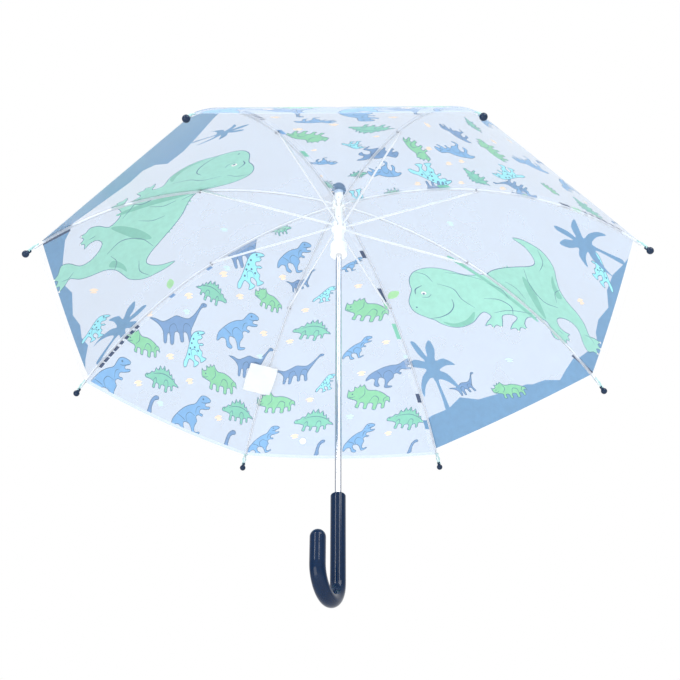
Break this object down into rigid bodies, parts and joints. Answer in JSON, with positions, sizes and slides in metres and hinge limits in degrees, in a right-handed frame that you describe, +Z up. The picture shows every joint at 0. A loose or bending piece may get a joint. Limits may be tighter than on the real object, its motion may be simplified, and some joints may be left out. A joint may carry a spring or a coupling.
{
  "type": "children's umbrella",
  "caption": "Open stick umbrella with a clear printed dome canopy, channel ribs, sliding runner, steel shaft and a hooked handle.",
  "frame": {"origin": "on the shaft's axis at the middle of the grip's straight part", "axes": "+Z up the shaft towards the cap; +X to the right and +Y away when the umbrella is seen from the front"},
  "size_m": [0.718, 0.718, 0.6151],
  "materials": {
    "steel_tube": "bright",
    "spring_steel": "satin",
    "white_plastic": "satin",
    "navy_plastic": "gloss",
    "rib_metal": "satin",
    "rivet_metal": "satin",
    "clear_film": "clear",
    "label_cloth": "satin"
  },
  "bodies": {
    "frame": {"shaft": "steel_tube", "crown": "white_plastic", "crown_wire": "spring_steel", "crown_pin": "spring_steel", "sleeve_pin": "spring_steel", "stop_sleeve": "white_plastic", "top_washer": "navy_plastic", "cap": "navy_plastic", "handle": "navy_plastic"},
    "runner_slider": {"runner": "white_plastic", "runner_wire": "spring_steel"},
    "top_catch_spring": {"top_catch": "spring_steel"},
    "bottom_catch_spring": {"bottom_catch": "spring_steel"},
    "rib_arm_1": {"rib_1": "rib_metal", "rivet_1": "rivet_metal", "tip_1": "navy_plastic"},
    "stretcher_arm_1": {"stretcher_1": "rib_metal"},
    "canopy_gore_1": {"gore_1": "clear_film"},
    "rib_arm_2": {"rib_2": "rib_metal", "rivet_2": "rivet_metal", "tip_2": "navy_plastic"},
    "stretcher_arm_2": {"stretcher_2": "rib_metal"},
    "canopy_gore_2": {"gore_2": "clear_film", "closing_strap": "clear_film", "snap_cap": "white_plastic", "snap_back": "white_plastic"},
    "rib_arm_3": {"rib_3": "rib_metal", "rivet_3": "rivet_metal", "tip_3": "navy_plastic", "care_label": "label_cloth"},
    "stretcher_arm_3": {"stretcher_3": "rib_metal"},
    "canopy_gore_3": {"gore_3": "clear_film"},
    "rib_arm_4": {"rib_4": "rib_metal", "rivet_4": "rivet_metal", "tip_4": "navy_plastic"},
    "stretcher_arm_4": {"stretcher_4": "rib_metal"},
    "canopy_gore_4": {"gore_4": "clear_film"},
    "rib_arm_5": {"rib_5": "rib_metal", "rivet_5": "rivet_metal", "tip_5": "navy_plastic"},
    "stretcher_arm_5": {"stretcher_5": "rib_metal"},
    "canopy_gore_5": {"gore_5": "clear_film"},
    "rib_arm_6": {"rib_6": "rib_metal", "rivet_6": "rivet_metal", "tip_6": "navy_plastic"},
    "stretcher_arm_6": {"stretcher_6": "rib_metal"},
    "canopy_gore_6": {"gore_6": "clear_film"},
    "rib_arm_7": {"rib_7": "rib_metal", "rivet_7": "rivet_metal", "tip_7": "navy_plastic"},
    "stretcher_arm_7": {"stretcher_7": "rib_metal"},
    "canopy_gore_7": {"gore_7": "clear_film"},
    "rib_arm_8": {"rib_8": "rib_metal", "rivet_8": "rivet_metal", "tip_8": "navy_plastic"},
    "stretcher_arm_8": {"stretcher_8": "rib_metal"},
    "canopy_gore_8": {"gore_8": "clear_film"}
  },
  "joints": [
    {"name": "runner_slide", "type": "slide", "parent": "frame", "child": "runner_slider", "axis": [0, 0, -1], "range_m": [0, 0.31397]},
    {"name": "rib_hinge_1", "type": "hinge", "parent": "frame", "child": "rib_arm_1", "pos_m": [0.00647, 0.00268, 0.4871], "axis": [-0.3827, 0.9239, 0], "range_deg": [0, 60.01]},
    {"name": "stretcher_hinge_1", "type": "hinge", "parent": "runner_slider", "child": "stretcher_arm_1", "pos_m": [0.00693, 0.00287, 0.44807], "axis": [0.3827, -0.9239, 0], "range_deg": [0, 73.03]},
    {"name": "gore_hinge_1", "type": "hinge", "parent": "frame", "child": "canopy_gore_1", "pos_m": [0.00495, 0.00495, 0.4871], "axis": [-0.7071, 0.7071, 0], "range_deg": [0, 58.11], "deforming": ["gore_1"]},
    {"name": "rib_hinge_2", "type": "hinge", "parent": "frame", "child": "rib_arm_2", "pos_m": [0.00268, 0.00647, 0.4871], "axis": [-0.9239, 0.3827, 0], "range_deg": [0, 60.01]},
    {"name": "stretcher_hinge_2", "type": "hinge", "parent": "runner_slider", "child": "stretcher_arm_2", "pos_m": [0.00287, 0.00693, 0.44807], "axis": [0.9239, -0.3827, 0], "range_deg": [0, 73.03]},
    {"name": "gore_hinge_2", "type": "hinge", "parent": "frame", "child": "canopy_gore_2", "pos_m": [0, 0.007, 0.4871], "axis": [-1, 0, 0], "range_deg": [0, 58.11], "deforming": ["gore_2", "closing_strap", "snap_cap", "snap_back"]},
    {"name": "rib_hinge_3", "type": "hinge", "parent": "frame", "child": "rib_arm_3", "pos_m": [-0.00268, 0.00647, 0.4871], "axis": [-0.9239, -0.3827, 0], "range_deg": [0, 60.01]},
    {"name": "stretcher_hinge_3", "type": "hinge", "parent": "runner_slider", "child": "stretcher_arm_3", "pos_m": [-0.00287, 0.00693, 0.44807], "axis": [0.9239, 0.3827, 0], "range_deg": [0, 73.03]},
    {"name": "gore_hinge_3", "type": "hinge", "parent": "frame", "child": "canopy_gore_3", "pos_m": [-0.00495, 0.00495, 0.4871], "axis": [-0.7071, -0.7071, 0], "range_deg": [0, 58.11], "deforming": ["gore_3"]},
    {"name": "rib_hinge_4", "type": "hinge", "parent": "frame", "child": "rib_arm_4", "pos_m": [-0.00647, 0.00268, 0.4871], "axis": [-0.3827, -0.9239, 0], "range_deg": [0, 60.01]},
    {"name": "stretcher_hinge_4", "type": "hinge", "parent": "runner_slider", "child": "stretcher_arm_4", "pos_m": [-0.00693, 0.00287, 0.44807], "axis": [0.3827, 0.9239, 0], "range_deg": [0, 73.03]},
    {"name": "gore_hinge_4", "type": "hinge", "parent": "frame", "child": "canopy_gore_4", "pos_m": [-0.007, 0, 0.4871], "axis": [0, -1, 0], "range_deg": [0, 58.11], "deforming": ["gore_4"]},
    {"name": "rib_hinge_5", "type": "hinge", "parent": "frame", "child": "rib_arm_5", "pos_m": [-0.00647, -0.00268, 0.4871], "axis": [0.3827, -0.9239, 0], "range_deg": [0, 60.01]},
    {"name": "stretcher_hinge_5", "type": "hinge", "parent": "runner_slider", "child": "stretcher_arm_5", "pos_m": [-0.00693, -0.00287, 0.44807], "axis": [-0.3827, 0.9239, 0], "range_deg": [0, 73.03]},
    {"name": "gore_hinge_5", "type": "hinge", "parent": "frame", "child": "canopy_gore_5", "pos_m": [-0.00495, -0.00495, 0.4871], "axis": [0.7071, -0.7071, 0], "range_deg": [0, 58.11], "deforming": ["gore_5"]},
    {"name": "rib_hinge_6", "type": "hinge", "parent": "frame", "child": "rib_arm_6", "pos_m": [-0.00268, -0.00647, 0.4871], "axis": [0.9239, -0.3827, 0], "range_deg": [0, 60.01]},
    {"name": "stretcher_hinge_6", "type": "hinge", "parent": "runner_slider", "child": "stretcher_arm_6", "pos_m": [-0.00287, -0.00693, 0.44807], "axis": [-0.9239, 0.3827, 0], "range_deg": [0, 73.03]},
    {"name": "gore_hinge_6", "type": "hinge", "parent": "frame", "child": "canopy_gore_6", "pos_m": [0, -0.007, 0.4871], "axis": [1, 0, 0], "range_deg": [0, 58.11], "deforming": ["gore_6"]},
    {"name": "rib_hinge_7", "type": "hinge", "parent": "frame", "child": "rib_arm_7", "pos_m": [0.00268, -0.00647, 0.4871], "axis": [0.9239, 0.3827, 0], "range_deg": [0, 60.01]},
    {"name": "stretcher_hinge_7", "type": "hinge", "parent": "runner_slider", "child": "stretcher_arm_7", "pos_m": [0.00287, -0.00693, 0.44807], "axis": [-0.9239, -0.3827, 0], "range_deg": [0, 73.03]},
    {"name": "gore_hinge_7", "type": "hinge", "parent": "frame", "child": "canopy_gore_7", "pos_m": [0.00495, -0.00495, 0.4871], "axis": [0.7071, 0.7071, 0], "range_deg": [0, 58.11], "deforming": ["gore_7"]},
    {"name": "rib_hinge_8", "type": "hinge", "parent": "frame", "child": "rib_arm_8", "pos_m": [0.00647, -0.00268, 0.4871], "axis": [0.3827, 0.9239, 0], "range_deg": [0, 60.01]},
    {"name": "stretcher_hinge_8", "type": "hinge", "parent": "runner_slider", "child": "stretcher_arm_8", "pos_m": [0.00693, -0.00287, 0.44807], "axis": [-0.3827, -0.9239, 0], "range_deg": [0, 73.03]},
    {"name": "gore_hinge_8", "type": "hinge", "parent": "frame", "child": "canopy_gore_8", "pos_m": [0.007, 0, 0.4871], "axis": [0, 1, 0], "range_deg": [0, 58.11], "deforming": ["gore_8"]},
    {"name": "top_catch_press", "type": "hinge", "parent": "frame", "child": "top_catch_spring", "pos_m": [0, 0.0025, 0.37667], "axis": [1, 0, 0], "range_deg": [0, 4.8], "stiffness_Nm_per_rad": 1.4},
    {"name": "bottom_catch_press", "type": "hinge", "parent": "frame", "child": "bottom_catch_spring", "pos_m": [0, 0.0025, 0.11411], "axis": [-1, 0, 0], "range_deg": [0, 4.8], "stiffness_Nm_per_rad": 1.4}
  ],
  "couplings": [
    {"joint": "rib_hinge_1", "follows": "runner_slide", "rad_per_m": 3.3354},
    {"joint": "stretcher_hinge_1", "follows": "runner_slide", "rad_per_m": 4.0594},
    {"joint": "gore_hinge_1", "follows": "runner_slide", "rad_per_m": 3.2298},
    {"joint": "rib_hinge_2", "follows": "runner_slide", "rad_per_m": 3.3354},
    {"joint": "stretcher_hinge_2", "follows": "runner_slide", "rad_per_m": 4.0594},
    {"joint": "gore_hinge_2", "follows": "runner_slide", "rad_per_m": 3.2298},
    {"joint": "rib_hinge_3", "follows": "runner_slide", "rad_per_m": 3.3354},
    {"joint": "stretcher_hinge_3", "follows": "runner_slide", "rad_per_m": 4.0594},
    {"joint": "gore_hinge_3", "follows": "runner_slide", "rad_per_m": 3.2298},
    {"joint": "rib_hinge_4", "follows": "runner_slide", "rad_per_m": 3.3354},
    {"joint": "stretcher_hinge_4", "follows": "runner_slide", "rad_per_m": 4.0594},
    {"joint": "gore_hinge_4", "follows": "runner_slide", "rad_per_m": 3.2298},
    {"joint": "rib_hinge_5", "follows": "runner_slide", "rad_per_m": 3.3354},
    {"joint": "stretcher_hinge_5", "follows": "runner_slide", "rad_per_m": 4.0594},
    {"joint": "gore_hinge_5", "follows": "runner_slide", "rad_per_m": 3.2298},
    {"joint": "rib_hinge_6", "follows": "runner_slide", "rad_per_m": 3.3354},
    {"joint": "stretcher_hinge_6", "follows": "runner_slide", "rad_per_m": 4.0594},
    {"joint": "gore_hinge_6", "follows": "runner_slide", "rad_per_m": 3.2298},
    {"joint": "rib_hinge_7", "follows": "runner_slide", "rad_per_m": 3.3354},
    {"joint": "stretcher_hinge_7", "follows": "runner_slide", "rad_per_m": 4.0594},
    {"joint": "gore_hinge_7", "follows": "runner_slide", "rad_per_m": 3.2298},
    {"joint": "rib_hinge_8", "follows": "runner_slide", "rad_per_m": 3.3354},
    {"joint": "stretcher_hinge_8", "follows": "runner_slide", "rad_per_m": 4.0594},
    {"joint": "gore_hinge_8", "follows": "runner_slide", "rad_per_m": 3.2298}
  ]
}
